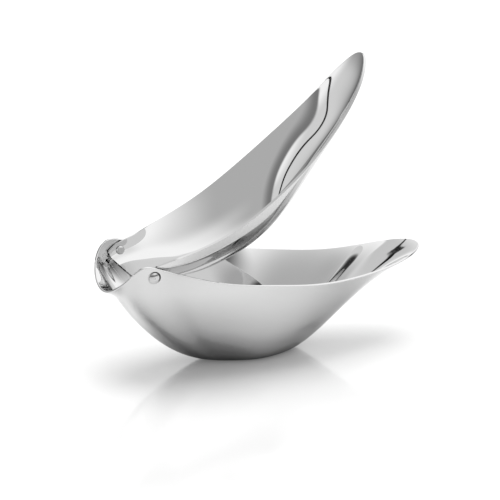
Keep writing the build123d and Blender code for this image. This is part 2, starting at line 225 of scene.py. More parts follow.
def bowl_rails():
    """Four rails and the lip's curl along the bowl's right half, from the handle tip round to the lip."""
    along = np.linspace(0, 1, RAIL_POINTS)
    places = spread(BOWL_RIM)
    rim_columns = list(zip(*BOWL_RIM))
    rim_x, rim_z = (smooth_through(places, rim_columns[k], True, True)(along) for k in (0, 2))
    rim_y = np.maximum(smooth_through(places, rim_columns[1])(along), 0.0)
    middle, half_length = (rim_x[0] + rim_x[-1]) / 2, (rim_x[0] - rim_x[-1]) / 2
    turn = np.arctan2(rim_y / BOWL_HALF_WIDTH, (rim_x - middle) / half_length)
    degrees_round = turn * 180 / pi
    turns, *profile_columns = zip(*BOWL_PROFILES)
    foot_run, high_z, slope = (
        smooth_through(turns, column, True, True)(degrees_round) for column in profile_columns
    )
    foot = stack(FOOT_LENGTH / 2 * np.cos(turn), FOOT_WIDTH / 2 * np.sin(turn), 0.0)
    rim = stack(rim_x, rim_y, rim_z)
    fan = level_unit(rim - foot)
    square = level_unit(stack(np.gradient(rim_y), -np.gradient(rim_x), 0.0))
    squareness = ease(degrees_round, FAN_TURN, SQUARE_TURN)[:, None]
    outward = level_unit(fan * (1 - squareness) + square * squareness)
    outward[[0, -1]] = fan[[0, -1]]
    curl = LIP_CURL * ease(degrees_round, LIP_START_TURN, LIP_FULL_TURN)[:, None] * outward
    drop = (rim_z - high_z)[:, None]
    return {
        "foot": foot,
        "low": foot + foot_run[:, None] * fan,
        "high": rim - curl - drop * (outward / np.tan(np.radians(slope))[:, None] + [0, 0, 1]),
        "rim": rim - curl,
        "curl": curl,
    }


def lever_rails():
    """The same four rails for the press lever's right half, from the hinge end to the tip, standing open."""
    along = np.linspace(0, 1, RAIL_POINTS) * (1 - LEVER_TIP_TRIM)
    places = spread([section[:3] for section in LEVER_SECTIONS])
    columns = list(zip(*LEVER_SECTIONS))
    place, rim, keel, slope, floor = (
        smooth_through(places, columns[k], level_end=True)(along) for k in (0, 2, 3, 4, 5)
    )
    half = smooth_through(places, columns[1])(along)
    slope = np.radians(slope)
    run = LEVER_SIDE_EASE * np.maximum(rim - keel, 0.0)

    def opened(y, height):
        """Turns a place in a section up by the lever's open angle about the pins."""
        c, s = cos(radians(OPEN_ANGLE)), sin(radians(OPEN_ANGLE))
        return stack(HINGE_X + c * place - s * height, y, HINGE_HEIGHT + s * place + c * height)

    return {
        "foot": opened(0.0, keel),
        "low": opened(floor * half, keel),
        "high": opened(half - run * np.cos(slope), rim - run * np.sin(slope)),
        "rim": opened(half, rim),
        "curl": np.zeros((RAIL_POINTS, 3)),
    }


def pressed(rails, along, across):
    """Where a point of the flat blank lands when the sheet is pressed, as in the node tree below."""
    row = along * (RAIL_POINTS - 1)
    low = np.clip(np.floor(row).astype(int), 0, RAIL_POINTS - 2)
    part = (row - low)[..., None]
    foot, low_rail, high, rim, curl = (
        rails[name][low] * (1 - part) + rails[name][low + 1] * part
        for name in ("foot", "low", "high", "rim", "curl")
    )
    side, rest = across[..., None], 1 - across[..., None]
    curled = np.maximum(side - LIP_CURL_START, 0.0) / (1 - LIP_CURL_START)
    body = rest**3 * foot + 3 * rest**2 * side * low_rail + 3 * rest * side**2 * high + side**3 * rim
    return body + curled**LIP_CURL_POWER * curl


def lever_end(rails, across):
    """Where along the blank the lever's hinge end is cut: straight below the pins, round them above."""
    x, _, z = pressed(rails, LEVER_END_TRIES, np.full_like(LEVER_END_TRIES, across)).T
    c, s = cos(radians(OPEN_ANGLE)), sin(radians(OPEN_ANGLE))
    ahead = c * (x - HINGE_X) + s * (z - HINGE_HEIGHT)
    up = -s * (x - HINGE_X) + c * (z - HINGE_HEIGHT)
    round_end = np.sqrt(np.maximum(LEVER_EAR_RADIUS**2 - up**2, 0.0))
    reach = np.where(up < 0, LEVER_EAR_RADIUS, round_end)
    return LEVER_END_TRIES[np.argmax(ahead >= -reach)]


# ==== node helpers
class Nodes:
    """Adds nodes to a tree: sockets given by name or number, and linked or set by what they are given."""

    def __init__(self, tree):
        self.tree = tree

    def fill(self, node, inputs):
        """Links or sets a node's inputs."""
        for name, value in inputs.items():
            if isinstance(value, bpy.types.NodeSocket):
                self.tree.links.new(value, node.inputs[name])
            else:
                node.inputs[name].default_value = value

    def add(self, kind, inputs=None, **settings):
        """A new node with its settings and inputs."""
        node = self.tree.nodes.new(kind)
        for name, value in settings.items():
            setattr(node, name, value)
        self.fill(node, inputs or {})
        return node

    def math(self, operation, *values):
        """A number from numbers."""
        return self.add("ShaderNodeMath", dict(enumerate(values)), operation=operation).outputs[0]

    def vector(self, operation, *values):
        """A vector from vectors."""
        return self.add("ShaderNodeVectorMath", dict(enumerate(values)), operation=operation).outputs[0]

    def measure(self, operation, *values):
        """A number from vectors."""
        return self.add("ShaderNodeVectorMath", dict(enumerate(values)), operation=operation).outputs["Value"]

    def scaled(self, vector, factor):
        """A vector made longer or shorter."""
        return self.add("ShaderNodeVectorMath", {0: vector, "Scale": factor}, operation="SCALE").outputs[0]

    def parts_of(self, vector):
        """A vector's X, Y and Z."""
        return self.add("ShaderNodeSeparateXYZ", {0: vector}).outputs

    def mixed(self, share, low, high):
        """Goes from low to high by a share from 0 to 1."""
        return self.add("ShaderNodeMix", {0: share, 2: low, 3: high}, data_type="FLOAT").outputs[0]

    def all_of(self, first, *others):
        """Several shares multiplied together."""
        for other in others:
            first = self.math("MULTIPLY", first, other)
        return first

    def soft_step(self, value, ends, low=0.0, high=1.0):
        """Goes from low to high as the value goes from one end to the other, either way round."""
        settings = {"Value": value, "From Min": ends[0], "From Max": ends[1], "To Min": low, "To Max": high}
        if ends[0] > ends[1]:
            settings.update({"From Min": ends[1], "From Max": ends[0], "To Min": high, "To Max": low})
        return self.add("ShaderNodeMapRange", settings, interpolation_type="SMOOTHSTEP").outputs["Result"]

    def band(self, value, middle, width, softness):
        """1 inside a band and 0 outside it; softness is the share of the width that its two sides take."""
        distance = self.math("ABSOLUTE", self.math("SUBTRACT", value, middle))
        return self.soft_step(distance, (width * (0.5 + softness / 2), width * (0.5 - softness / 2)))

    def position(self):
        """Each point's own place."""
        return self.add("GeometryNodeInputPosition").outputs[0]

    def attribute(self, name):
        """Each point's own vector of that name."""
        node = self.add("GeometryNodeInputNamedAttribute", {"Name": name}, data_type="FLOAT_VECTOR")
        return node.outputs[0]

    def sampled(self, mesh, value, index):
        """The vector that a mesh's point of that number holds."""
        inputs = {"Geometry": mesh, "Value": value, "Index": index}
        return self.add("GeometryNodeSampleIndex", inputs, data_type="FLOAT_VECTOR", clamp=True).outputs[0]

    def join(self, *meshes):
        """Several meshes as one."""
        node = self.add("GeometryNodeJoinGeometry")
        for mesh in meshes:
            self.tree.links.new(mesh, node.inputs[0])
        return node.outputs[0]

    def welded(self, mesh, distance):
        """A mesh with the points that coincide made one."""
        return self.add("GeometryNodeMergeByDistance", {"Geometry": mesh, "Distance": distance}).outputs[0]

    def finish(self, mesh, material, socket):
        """Ends a geometry tree with real meshes that have their material."""
        real = self.add("GeometryNodeRealizeInstances", {"Geometry": mesh}).outputs[0]
        done = self.add("GeometryNodeSetMaterial", {"Geometry": real, "Material": material}).outputs[0]
        self.add("NodeGroupOutput", {socket: done})


def new_socket(tree, name, kind, default=None, outward=False):
    """Gives a tree a named input, or an output."""
    socket = tree.interface.new_socket(name, in_out="OUTPUT" if outward else "INPUT", socket_type=kind)
    if default is not None:
        socket.default_value = default


def made_by(tree, name, start, values, helper):
    """Runs a geometry tree on a start mesh and keeps the result as a plain mesh at the origin."""
    maker = bpy.data.objects.new(name, start)
    for made in (maker, helper):
        bpy.context.collection.objects.link(made)
    modifier = maker.modifiers.new("make", "NODES")
    modifier.node_group = tree
    for item in tree.interface.items_tree:
        if item.in_out == "INPUT" and item.name in values:
            modifier[item.identifier] = values[item.name]
    keep_result(maker)
    bpy.data.objects.remove(helper)
    return maker


def keep_result(piece):
    """Gives a piece the mesh that its modifiers make, and removes them."""
    depsgraph = bpy.context.evaluated_depsgraph_get()
    mesh = bpy.data.meshes.new_from_object(piece.evaluated_get(depsgraph), depsgraph=depsgraph)
    piece.modifiers.clear()
    piece.data = mesh
    mesh.name = piece.name


# ==== pressing a flat blank into a shell
def rail_shares(make, across, curl_start, curl_power):
    """How much of each rail a point takes, by its place across: a cubic curve's weights, and the curl's."""
    side = make.math("MAXIMUM", across, 0.0)
    rest = make.math("SUBTRACT", 1.0, side)
    sole = make.math("ADD", make.math("MINIMUM", across, 0.0), 1.0)
    rest_squared, side_squared = make.math("MULTIPLY", rest, rest), make.math("MULTIPLY", side, side)
    over = make.math("MAXIMUM", make.math("SUBTRACT", side, curl_start), 0.0)
    curled = make.math("DIVIDE", over, make.math("SUBTRACT", 1.0, curl_start))
    return {
        "foot": make.math("MULTIPLY", make.math("MULTIPLY", rest_squared, rest), sole),
        "low": make.math("MULTIPLY", make.math("MULTIPLY", rest_squared, side), 3.0),
        "high": make.math("MULTIPLY", make.math("MULTIPLY", side_squared, rest), 3.0),
        "rim": make.math("MULTIPLY", side_squared, side),
        "curl": make.math("POWER", curled, curl_power),
    }


def pressed_place(make, rails, along, shares):
    """Where a point of the blank lands: each rail is read at the point's row and taken by its share."""
    count = make.add("GeometryNodeAttributeDomainSize", {"Geometry": rails}).outputs["Point Count"]
    row = make.math("MULTIPLY", along, make.math("SUBTRACT", count, 1.0))
    first = make.math("FLOOR", row)
    part = make.math("SUBTRACT", row, first)
    landed = None
    for name, weight in shares.items():
        start = make.sampled(rails, make.attribute(name), first)
        end = make.sampled(rails, make.attribute(name), make.math("ADD", first, 1.0))
        on_rail = make.vector("ADD", start, make.scaled(make.vector("SUBTRACT", end, start), part))
        share = make.scaled(on_rail, weight)
        landed = share if landed is None else make.vector("ADD", landed, share)
    return landed


def walled(make, outer, wall, weld):
    """Gives a sheet its wall, inward from its outer face."""
    normal = make.add("GeometryNodeInputNormal").outputs[0]
    kept = {"Geometry": outer, "Name": "outward", "Value": normal}
    noted = make.add("GeometryNodeStoreNamedAttribute", kept, data_type="FLOAT_VECTOR", domain="POINT")
    doubled = {"Mesh": noted.outputs[0], "Offset Scale": 0.0, "Individual": False}
    thick = make.add("GeometryNodeExtrudeMesh", doubled, mode="FACES")
    inward = make.scaled(make.attribute("outward"), make.math("MULTIPLY", wall, -1.0))
    inputs = {"Geometry": thick.outputs["Mesh"], "Selection": thick.outputs["Top"], "Offset": inward}
    moved = make.add("GeometryNodeSetPosition", inputs).outputs[0]
    inner = make.add("GeometryNodeFlipFaces", {"Mesh": moved}).outputs[0]
    shell = make.welded(make.join(outer, inner), weld)
    return make.add("GeometryNodeRemoveAttribute", {"Geometry": shell, "Name": "outward"}).outputs[0]


def pressing_tree():
    """Geometry nodes that press a blank over its rails, mirror it, weld it and give it its wall."""
    tree = bpy.data.node_groups.new("pressed_shell", "GeometryNodeTree")
    new_socket(tree, "Blank", "NodeSocketGeometry")
    new_socket(tree, "Rails", "NodeSocketObject")
    usual = {"Wall": SHELL_WALL * MM, "Curl start": LIP_CURL_START, "Curl power": LIP_CURL_POWER}
    for name, value in (*usual.items(), ("Weld", WELD_DISTANCE)):
        new_socket(tree, name, "NodeSocketFloat", value)
    new_socket(tree, "Finish", "NodeSocketMaterial")
    new_socket(tree, "Shell", "NodeSocketGeometry", outward=True)
    make = Nodes(tree)
    given = make.add("NodeGroupInput").outputs
    place = make.parts_of(make.position())
    rails = make.add("GeometryNodeObjectInfo", {"Object": given["Rails"]}).outputs["Geometry"]
    shares = rail_shares(make, place["Y"], given["Curl start"], given["Curl power"])
    landed = pressed_place(make, rails, place["X"], shares)
    right = make.add("GeometryNodeSetPosition", {"Geometry": given["Blank"], "Position": landed}).outputs[0]
    mirrored = make.add("GeometryNodeTransform", {"Geometry": right, "Scale": (1.0, -1.0, 1.0)}).outputs[0]
    left = make.add("GeometryNodeFlipFaces", {"Mesh": mirrored}).outputs[0]
    outer = make.welded(make.join(right, left), given["Weld"])
    make.finish(walled(make, outer, given["Wall"], given["Weld"]), given["Finish"], "Shell")
    return tree


def rails_object(name, rails):
    """A row of bare points, each holding the rails' places beside it, in metres."""
    mesh = bpy.data.meshes.new(name)
    mesh.from_pydata([(i, 0, 0) for i in range(RAIL_POINTS)], [], [])
    for rail, places in rails.items():
        attribute = mesh.attributes.new(rail, "FLOAT_VECTOR", "POINT")
        attribute.data.foreach_set("vector", (places * MM).astype(np.float32).ravel())
    return bpy.data.objects.new(name, mesh)


def find_on_sheet(rails, wanted, start):
    """The blank's point that is pressed to a wanted place in side view, x and z, by Newton's rule."""
    spot = np.array(start, float)
    for _ in range(SEARCH_TURNS):
        here = pressed(rails, spot[0], np.array(spot[1]))[[0, 2]]
        miss = np.array(wanted) - here
        if np.abs(miss).max() < SEARCH_MISS:
            break
        columns = []
        for k in (0, 1):
            ahead = spot.copy()
            ahead[k] += SEARCH_STEP
            columns.append((pressed(rails, ahead[0], np.array(ahead[1]))[[0, 2]] - here) / SEARCH_STEP)
        spot += np.linalg.solve(np.array(columns).T, miss)
    return spot


def blank_grid(cells, acrosses, ends=0.0):
    """The blank's points, along and across; ends says where its first row lies for each place across."""
    alongs, acrosses = np.meshgrid(np.linspace(0, 1, cells + 1), acrosses, indexing="ij")
    return np.stack([ends + alongs * (1 - ends), acrosses], axis=-1)


def pin_patch(rails, grid, pin_spot, seat_radius):
    """The first and last row, and column, of the grid's patch that gives way to rings round the pin."""
    alongs, acrosses = grid[..., 0], grid[..., 1]
    spot = find_on_sheet(rails, (HINGE_X, HINGE_HEIGHT), pin_spot)
    from_pin = pressed(rails, alongs, np.maximum(acrosses, 0.0))[..., [0, 2]] - [HINGE_X, HINGE_HEIGHT]
    near = np.linalg.norm(from_pin, axis=-1) < seat_radius * PATCH_REACH
    near &= (acrosses > 0) & (np.abs(alongs - spot[0]) < PATCH_WINDOW)
    rows, columns = np.where(near)
    return (rows.min() - 1, rows.max() + 1), (columns.min() - 1, columns.max() + 1)


def ring_radii(hole_radius, seat_radius):
    """From the frame in to the hole: share still kept of the frame's outline, and the circle's radius."""
    outer = seat_radius + SEAT_EDGE
    thirds = ((2 * seat_radius + hole_radius) / 3, (seat_radius + 2 * hole_radius) / 3)
    circles = (outer, seat_radius, *thirds, hole_radius)
    return [(share, outer) for share in FRAME_SHARES] + [(0.0, radius) for radius in circles]


def pin_rings(rails, grid, patch, points, radii):
    """Rings from the patch's frame in to the pin's hole; their new points join the list of points."""
    (first_row, last_row), (first_column, last_column) = patch
    frame_cells = [(i, first_column) for i in range(first_row, last_row)]
    frame_cells += [(last_row, j) for j in range(first_column, last_column)]
    frame_cells += [(i, last_column) for i in range(last_row, first_row, -1)]
    frame_cells += [(first_row, j) for j in range(last_column, first_column, -1)]
    rings = [[i * grid.shape[1] + j for i, j in frame_cells]]
    starts = np.array([points[k] for k in rings[0]])
    side_view = pressed(rails, starts[:, 0], starts[:, 1])[:, [0, 2]] - [HINGE_X, HINGE_HEIGHT]
    angles, reaches = np.arctan2(side_view[:, 1], side_view[:, 0]), np.linalg.norm(side_view, axis=1)
    for share, radius in radii:
        rings.append(list(range(len(points), len(points) + len(starts))))
        for angle, frame_reach, start in zip(angles, reaches, starts):
            reach = radius + share * (frame_reach - radius)
            wanted = (HINGE_X + reach * cos(angle), HINGE_HEIGHT + reach * sin(angle))
            points.append(find_on_sheet(rails, wanted, start))
    return rings


def blank_mesh(name, rails, grid, pin_spot, hole_radius, seat_radius, flipped=False):
    """The flat blank of a shell's right half, as it is before pressing, with a round hole for the pin."""
    patch = pin_patch(rails, grid, pin_spot, seat_radius)
    (first_row, last_row), (first_column, last_column) = patch
    rows, columns = grid.shape[:2]
    points = list(grid.reshape(-1, 2))
    faces = []
    for i in range(rows - 1):
        for j in range(columns - 1):
            if not (first_row <= i < last_row and first_column <= j < last_column):
                corner = i * columns + j
                faces.append((corner, corner + columns, corner + columns + 1, corner + 1))
    rings = pin_rings(rails, grid, patch, points, ring_radii(hole_radius, seat_radius))
    for outside, inside in zip(rings, rings[1:]):
        for k in range(len(outside)):
            after = (k + 1) % len(outside)
            faces.append((outside[k], outside[after], inside[after], inside[k]))
    if flipped:
        faces = [face[::-1] for face in faces]
    mesh = bpy.data.meshes.new(name)
    mesh.from_pydata([(*point, 0.0) for point in points], [], faces)
    mesh.update()
    return mesh


def shell_piece(name, blank, rails, material):
    """Presses a blank and rounds its cut edges."""
    tree = bpy.data.node_groups.get("pressed_shell") or pressing_tree()
    holder = rails_object(name + "_rails", rails)
    values = {"Rails": holder, "Wall": SHELL_WALL * MM, "Finish": material}
    piece = made_by(tree, name, blank, values, holder)
    round_edges(piece)
    return piece


def round_edges(piece):
    """Rounds the cut edges with a bevel, and keeps the large faces' own normals."""
    for polygon in piece.data.polygons:
        polygon.use_smooth = True
    bevel = piece.modifiers.new("round", "BEVEL")
    bevel.width = RIM_ROUND * MM
    bevel.segments = EDGE_SEGMENTS
    bevel.limit_method = "ANGLE"
    bevel.angle_limit = radians(EDGE_ANGLE)
    bevel.harden_normals = True
    bevel.miter_outer = "MITER_ARC"
    keep_result(piece)


def corner_vertices(mesh):
    """The vertex at each corner of each face."""
    vertices = np.empty(len(mesh.loops), dtype=np.int32)
    mesh.loops.foreach_get("vertex_index", vertices)
    return vertices


def corner_faces(mesh):
    """The face that each corner belongs to."""
    sizes = np.empty(len(mesh.polygons), dtype=np.int32)
    mesh.polygons.foreach_get("loop_total", sizes)
    return np.repeat(np.arange(len(sizes)), sizes)


def rows_of(collection, name):
    """Three numbers for each element of a mesh's collection."""
    flat = np.empty(len(collection) * 3)
    collection.foreach_get(name, flat)
    return flat.reshape(-1, 3)


def press_seat(piece, radius, face, outside):
    """Presses a flat round seat for a head or a washer into both ears, and says which vertices lie in it."""
    mesh = piece.data
    places = rows_of(mesh.vertices, "co") / MM
    facing = rows_of(mesh.vertices, "normal")
    normals = rows_of(mesh.corner_normals, "vector")
    reach = np.hypot(places[:, 0] - HINGE_X, places[:, 2] - HINGE_HEIGHT)
    side = np.sign(places[:, 1])
    # The first limit takes in both rings of the seat's edge, and the second only the inner one.
    around = (reach < radius + 1.5 * SEAT_EDGE) & ((facing[:, 1] * side > 0) == outside)
    seated = around & (reach < radius + 0.5 * SEAT_EDGE)
    held = np.minimum(np.abs(places[:, 1]), face) if outside else face  # outside, the sheet only goes inward
    places[seated, 1] = (side * held)[seated]
    mesh.vertices.foreach_set("co", (places * MM).ravel())
    mesh.update()
    for index in np.unique(corner_faces(mesh)[np.isin(corner_vertices(mesh), np.where(around)[0])]):
        polygon = mesh.polygons[int(index)]
        if around[list(polygon.vertices)].all():
            normals[list(polygon.loop_indices)] = polygon.normal
    mesh.normals_split_custom_set(normals.tolist())
    return seated


def paint_recess_shade(piece, seated):
    """Paints shade, with more roughness, into the recess round a pin's head, darkest forward and up from the
    pin.
    """
    mesh = piece.data
    places = rows_of(mesh.vertices, "co") / MM
    from_pin = places[:, [0, 2]] - [HINGE_X, HINGE_HEIGHT]
    away = from_pin / np.maximum(np.hypot(*from_pin.T), 1e-6)[:, None]
    shade_and_roughness = RECESS_SHADE + (1 - RECESS_SHADE) * np.maximum(away @ RECESS_DARKEST, 0.0) ** 0.5
    attribute = mesh.attributes.new("unpolished", "FLOAT", "POINT")
    attribute.data.foreach_set("value", np.where(seated, shade_and_roughness, 0.0).astype(np.float32))


# ==== turning a profile into a pin or washer
def turning_tree():
    """Geometry nodes that turn a profile, given as points of radius and distance, round the hinge axis."""
    tree = bpy.data.node_groups.new("turned_part", "GeometryNodeTree")
    new_socket(tree, "Geometry", "NodeSocketGeometry")
    new_socket(tree, "Profile", "NodeSocketObject")
    new_socket(tree, "Steps", "NodeSocketInt", TURNED_STEPS)
    new_socket(tree, "Side", "NodeSocketFloat", 1.0)
    new_socket(tree, "Middle", "NodeSocketVector")
    new_socket(tree, "Weld", "NodeSocketFloat", WELD_DISTANCE)
    new_socket(tree, "Finish", "NodeSocketMaterial")
    new_socket(tree, "Part", "NodeSocketGeometry", outward=True)
    make = Nodes(tree)
    given = make.add("NodeGroupInput").outputs
    profile = make.add("GeometryNodeObjectInfo", {"Object": given["Profile"]}).outputs["Geometry"]
    count = make.add("GeometryNodeAttributeDomainSize", {"Geometry": profile}).outputs["Point Count"]
    grid_size = {"Vertices X": count, "Vertices Y": make.math("ADD", given["Steps"], 1.0)}
    grid = make.add("GeometryNodeMeshGrid", grid_size).outputs["Mesh"]
    place = make.parts_of(make.position())
    last = make.math("SUBTRACT", count, 1.0)
    row = make.math("ROUND", make.math("MULTIPLY", make.math("ADD", place["X"], 0.5), last))
    angle = make.math("MULTIPLY", make.math("ADD", place["Y"], 0.5), 2 * pi)
    radius, distance, _ = make.parts_of(make.sampled(profile, make.position(), row))
    ahead = make.math("MULTIPLY", radius, make.math("COSINE", angle))
    out = make.math("MULTIPLY", distance, given["Side"])
    up = make.math("MULTIPLY", make.math("MULTIPLY", radius, make.math("SINE", angle)), given["Side"])
    turned = make.add("ShaderNodeCombineXYZ", {0: ahead, 1: out, 2: up}).outputs[0]
    placed = make.vector("ADD", turned, given["Middle"])
    solid = make.add("GeometryNodeSetPosition", {"Geometry": grid, "Position": placed}).outputs[0]
    closed = make.welded(solid, given["Weld"])
    smooth = make.add("GeometryNodeSetShadeSmooth", {"Geometry": closed}).outputs[0]
    make.finish(smooth, given["Finish"], "Part")
    return tree


def rounded(points, radius):
    """A profile with its inner corners rounded; the first and last points stay where they are."""
    result = [points[0]]
    for before, corner, after in zip(points, points[1:], points[2:]):
        corner = Vector(corner)
        back, onward = Vector(before) - corner, Vector(after) - corner
        reach = min(radius, back.length * CORNER_SHARE, onward.length * CORNER_SHARE)
        start, end = corner + back.normalized() * reach, corner + onward.normalized() * reach
        for k in range(CORNER_STEPS + 1):
            t = k / CORNER_STEPS
            result.append(tuple((1 - t) ** 2 * start + 2 * t * (1 - t) * corner + t**2 * end))
    return result + [points[-1]]


def turned_piece(name, profile, side, material):
    """A turned part in one ear: side is -1 on the left and 1 on the right."""
    tree = bpy.data.node_groups.get("turned_part") or turning_tree()
    points = bpy.data.meshes.new(name + "_profile")
    points.from_pydata([(radius * MM, distance * MM, 0.0) for radius, distance in profile], [], [])
    holder = bpy.data.objects.new(name + "_profile", points)
    middle = (HINGE_X * MM, 0.0, HINGE_HEIGHT * MM)
    values = {"Profile": holder, "Side": float(side), "Middle": middle, "Finish": material}
    return made_by(tree, name, bpy.data.meshes.new(name + "_start"), values, holder)


def pin_profile():
    """A pin from its tail to its head: radius and distance from the middle plane."""
    dome = []
    for share in np.linspace(0, 1, DOME_STEPS + 1)[1:-1]:
        radius = HEAD_RADIUS + (DIMPLE_RADIUS - HEAD_RADIUS) * share
        rise = (HEAD_HEIGHT - HEAD_EDGE) * (1 - (radius / HEAD_RADIUS) ** 2)
        dome.append((radius, HEAD_SEAT + HEAD_EDGE + rise))
    head_top = HEAD_SEAT + HEAD_HEIGHT
    return [
        (0.0, TAIL_SEAT - TAIL_HEIGHT),
        (PIN_RADIUS, TAIL_SEAT - TAIL_HEIGHT),
        (TAIL_RADIUS, TAIL_SEAT),
        (PIN_RADIUS, TAIL_SEAT),
        (PIN_RADIUS, HEAD_SEAT),
        (HEAD_RADIUS, HEAD_SEAT),
        (HEAD_RADIUS, HEAD_SEAT + HEAD_EDGE),
        *dome,
        (DIMPLE_RADIUS, head_top - DIMPLE_LIP),
        (DIMPLE_FLOOR_RADIUS, head_top - DIMPLE_DEPTH),
        (0.0, head_top - DIMPLE_DEPTH),
    ]


def washer_profile():
    """A washer's closed section, seated on the inside of the bowl's ear."""
    bore, inside = PIN_RADIUS + PIN_CLEARANCE, WASHER_SEAT - WASHER_THICKNESS
    seat = (bore, WASHER_SEAT)
    return [seat, (bore, inside), (WASHER_RADIUS, inside), (WASHER_RADIUS, WASHER_SEAT), seat]


# ==== finishes
CLOUD_DETAIL = 3.0
MARK_DETAIL = 2.0
CLOUD_SHARE = 0.7  # of the gloss; the marks have the rest
NOISE_SPREAD = (0.32, 0.68)  # the two noises together mostly stay between these
# painted shade: the dark colour mixed into the steel where the mask asks
PAINTED_SHADE_COLOUR = (0.05, 0.05, 0.05, 1.0)
RAW_ROUGHNESS = 0.45
CLOUD_SCALE = 60.0


def steel_surface():
    """Shared by the steels: fine marks left by working, soft changes of gloss, and painted shade with more
    roughness where a mask asks for it.
    """
    tree = bpy.data.node_groups.new("steel_surface", "ShaderNodeTree")
    new_socket(tree, "Place", "NodeSocketVector")
    new_socket(tree, "Colour", "NodeSocketColor", (0.66, 0.66, 0.66, 1.0))
    new_socket(tree, "Raw colour", "NodeSocketColor", PAINTED_SHADE_COLOUR)
    usual = {"Unpolished": 0.0, "Gloss low": 0.02, "Gloss high": 0.05, "Raw roughness": RAW_ROUGHNESS}
    usual.update({"Cloud scale": CLOUD_SCALE, "Mark scale": 3000.0, "Mark shade": 0.02})
    for name, value in usual.items():
        new_socket(tree, name, "NodeSocketFloat", value)
    new_socket(tree, "Colour", "NodeSocketColor", outward=True)
    new_socket(tree, "Roughness", "NodeSocketFloat", outward=True)
    new_socket(tree, "Marks", "NodeSocketFloat", outward=True)
    make = Nodes(tree)
    given = make.add("NodeGroupInput").outputs
    clouds = {"Vector": given["Place"], "Scale": given["Cloud scale"], "Detail": CLOUD_DETAIL}
    cloud = make.add("ShaderNodeTexNoise", clouds).outputs[0]
    scratches = {"Vector": given["Place"], "Scale": given["Mark scale"], "Detail": MARK_DETAIL}
    marks = make.add("ShaderNodeTexNoise", scratches).outputs[0]
    cloud_part = make.math("MULTIPLY", cloud, CLOUD_SHARE)
    mark_part = make.math("MULTIPLY", marks, 1 - CLOUD_SHARE)
    low, high = NOISE_SPREAD
    spread = {"Value": make.math("ADD", cloud_part, mark_part), "From Min": low, "From Max": high}
    spread.update({"To Min": given["Gloss low"], "To Max": given["Gloss high"]})
    polish = make.add("ShaderNodeMapRange", spread).outputs[0]
    # the mask mixes in painted shade and more roughness together
    shade_and_roughness = given["Unpolished"]
    rough_step = make.math("SUBTRACT", given["Raw roughness"], polish)
    roughness = make.math("ADD", polish, make.math("MULTIPLY", shade_and_roughness, rough_step))
    shade = make.math("MULTIPLY", make.math("SUBTRACT", marks, 0.5), given["Mark shade"])
    shaded = make.scaled(given["Colour"], make.math("ADD", shade, 1.0))
    to_shade = make.vector("SUBTRACT", given["Raw colour"], shaded)
    colour = make.vector("ADD", shaded, make.scaled(to_shade, shade_and_roughness))
    make.add("NodeGroupOutput", {"Colour": colour, "Roughness": roughness, "Marks": marks})
    return tree


def round_hinge_axis(make, place):
    """A place as its reach from the hinge axis and its depth along it, for marks left by a lathe."""
    from_axis = make.vector("SUBTRACT", place, (HINGE_X * MM, 0.0, HINGE_HEIGHT * MM))
    reach = make.measure("LENGTH", make.vector("MULTIPLY", from_axis, (1.0, 0.0, 1.0)))
    return make.add("ShaderNodeCombineXYZ", {0: reach, 1: make.parts_of(from_axis)["Y"]}).outputs[0]


def steel(name, colour, gloss, mark_scale, mark_shade, mark_depth, stretch=None):
    """A steel finish: its colour, its roughness at best and worst, and the marks that its working left.

    stretch draws the marks out along the sheet. Without it they run round the hinge axis.
    """
    material = bpy.data.materials.new(name)
    material.use_nodes = True
    make = Nodes(material.node_tree)
    place = make.add("ShaderNodeTexCoord").outputs["Object"]
    if stretch:
        place = make.add("ShaderNodeMapping", {"Vector": place, "Scale": stretch}).outputs[0]
    else:
        place = round_hinge_axis(make, place)
    surface = {
        "Place": place,
        # the mesh's mask of painted shade, with more roughness, in the recesses
        "Unpolished": make.add("ShaderNodeAttribute", attribute_name="unpolished").outputs["Fac"],
        "Colour": (*colour, 1.0),
        "Gloss low": gloss[0],
        "Gloss high": gloss[1],
        "Mark scale": mark_scale,
        "Mark shade": mark_shade,
    }
    group = bpy.data.node_groups.get("steel_surface") or steel_surface()
    given = make.add("ShaderNodeGroup", surface, node_tree=group).outputs
    relief = {"Height": given["Marks"], "Strength": 1.0, "Distance": mark_depth * MM}
    shader = {
        "Base Color": given["Colour"],
        "Metallic": 1.0,
        "Roughness": given["Roughness"],
        "Normal": make.add("ShaderNodeBump", relief).outputs[0],
    }
    make.fill(material.node_tree.nodes["Principled BSDF"], shader)
    return material


sheet_steel = steel(
    "polished_sheet",
    colour=(0.66, 0.66, 0.66),
    gloss=(0.018, 0.045),
    mark_scale=2600.0,
    mark_shade=0.02,
    mark_depth=0.00003,
    stretch=(0.05, 1.0, 1.0),
)
pin_steel = steel(
    "turned_pin",
    colour=(0.60, 0.60, 0.60),
    gloss=(0.05, 0.12),
    mark_scale=9000.0,
    mark_shade=0.12,
    mark_depth=0.001,
)
washer_steel = steel(
    "brushed_washer",
    colour=(0.50, 0.50, 0.50),
    gloss=(0.22, 0.34),
    mark_scale=12000.0,
    mark_shade=0.3,
    mark_depth=0.002,
)

# ==== the pieces
rails = bowl_rails()
acrosses = np.concatenate([np.linspace(-1, 0, SOLE_CELLS + 1)[:-1], np.linspace(0, 1, BOWL_CELLS[1] + 1)])
grid = blank_grid(BOWL_CELLS[0], acrosses)
blank = blank_mesh("bowl_blank", rails, grid, BOWL_PIN_SPOT, PIN_RADIUS, HEAD_RECESS_RADIUS)
lower = shell_piece("bowl_shell", blank, rails, sheet_steel)
# paints shade, with more roughness, into the recess under each head
paint_recess_shade(lower, press_seat(lower, HEAD_RECESS_RADIUS, HEAD_SEAT, outside=True))
press_seat(lower, HEAD_RECESS_RADIUS, WASHER_SEAT, outside=False)
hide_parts("lower_shell")
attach(lower, "bowl")

